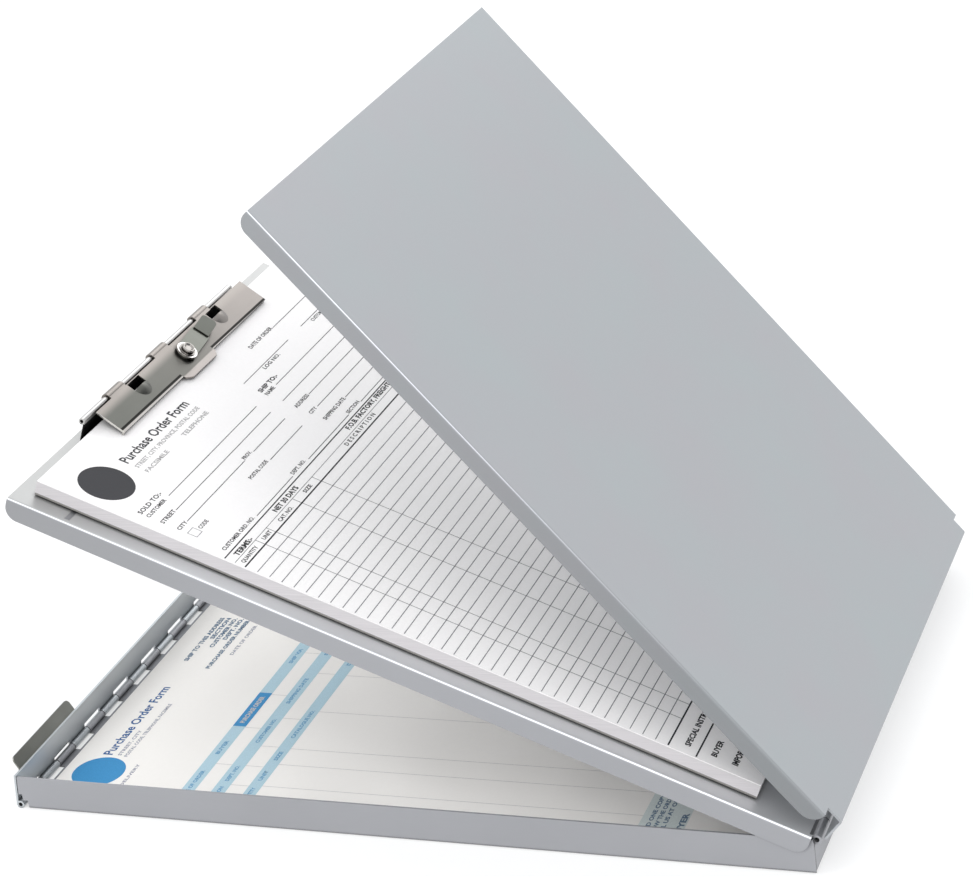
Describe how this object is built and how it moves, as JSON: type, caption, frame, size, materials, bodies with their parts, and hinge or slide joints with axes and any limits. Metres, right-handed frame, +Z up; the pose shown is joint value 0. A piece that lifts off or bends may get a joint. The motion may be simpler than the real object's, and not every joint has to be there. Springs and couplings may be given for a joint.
{
  "type": "storage clipboard box",
  "caption": "Folded sheet-metal form holder: a storage tray, a hinged writing plate with a sprung paper clip, a cover on the same hinge and a drop gate at the far end.",
  "frame": {"origin": "centre of the tray's underside", "axes": "+X along the hinges, +Y from the three-leaf hinge to the gate, +Z up out of the tray"},
  "size_m": [0.2268, 0.3234, 0.2422],
  "materials": {
    "aluminium_sheet": "satin",
    "gate_sheet": "satin",
    "dark_steel": "satin",
    "clip_steel": "polished",
    "bright_steel": "polished",
    "pin_steel": "satin",
    "paper": "matte",
    "board": "matte"
  },
  "bodies": {
    "tray": {"tray": "aluminium_sheet", "hinge_pin": "pin_steel", "gate_pin": "pin_steel", "tray_forms": "paper", "tray_top_form": "paper"},
    "plate": {"writing_plate": "aluminium_sheet", "clip_base": "clip_steel", "clip_rivets": "bright_steel", "clip_pin": "pin_steel", "pad_board": "board", "pad_sheets": "paper", "pad_top_sheet": "paper"},
    "cover": {"cover": "aluminium_sheet"},
    "gate": {"gate": "gate_sheet", "thumb_tab": "dark_steel", "tab_rivets": "bright_steel"},
    "jaw": {"clip_jaw": "clip_steel", "stud": "bright_steel", "stud_washer": "bright_steel", "lever_washer": "bright_steel"},
    "lever": {"lock_lever": "dark_steel"}
  },
  "joints": [
    {"name": "plate_hinge", "type": "hinge", "parent": "tray", "child": "plate", "pos_m": [0, -0.1571, 0.013], "axis": [1, 0, 0], "range_deg": [-22.5, 47.5]},
    {"name": "cover_hinge", "type": "hinge", "parent": "plate", "child": "cover", "pos_m": [0, -0.1571, 0.013], "axis": [1, 0, 0], "range_deg": [-28.7, 51.3]},
    {"name": "gate_hinge", "type": "hinge", "parent": "tray", "child": "gate", "pos_m": [0, 0.15465, 0.0016], "axis": [-1, 0, 0], "range_deg": [0, 76]},
    {"name": "jaw_hinge", "type": "hinge", "parent": "plate", "child": "jaw", "pos_m": [0, 0.12196, 0.14152], "axis": [-1, 0, 0], "range_deg": [0, 35], "stiffness_Nm_per_rad": 0.06, "springref_deg": -34.38},
    {"name": "lever_pivot", "type": "hinge", "parent": "jaw", "child": "lever", "pos_m": [0.0065, 0.1143, 0.13782], "axis": [0, -0.6206, 0.7841], "range_deg": [0, 74]}
  ]
}
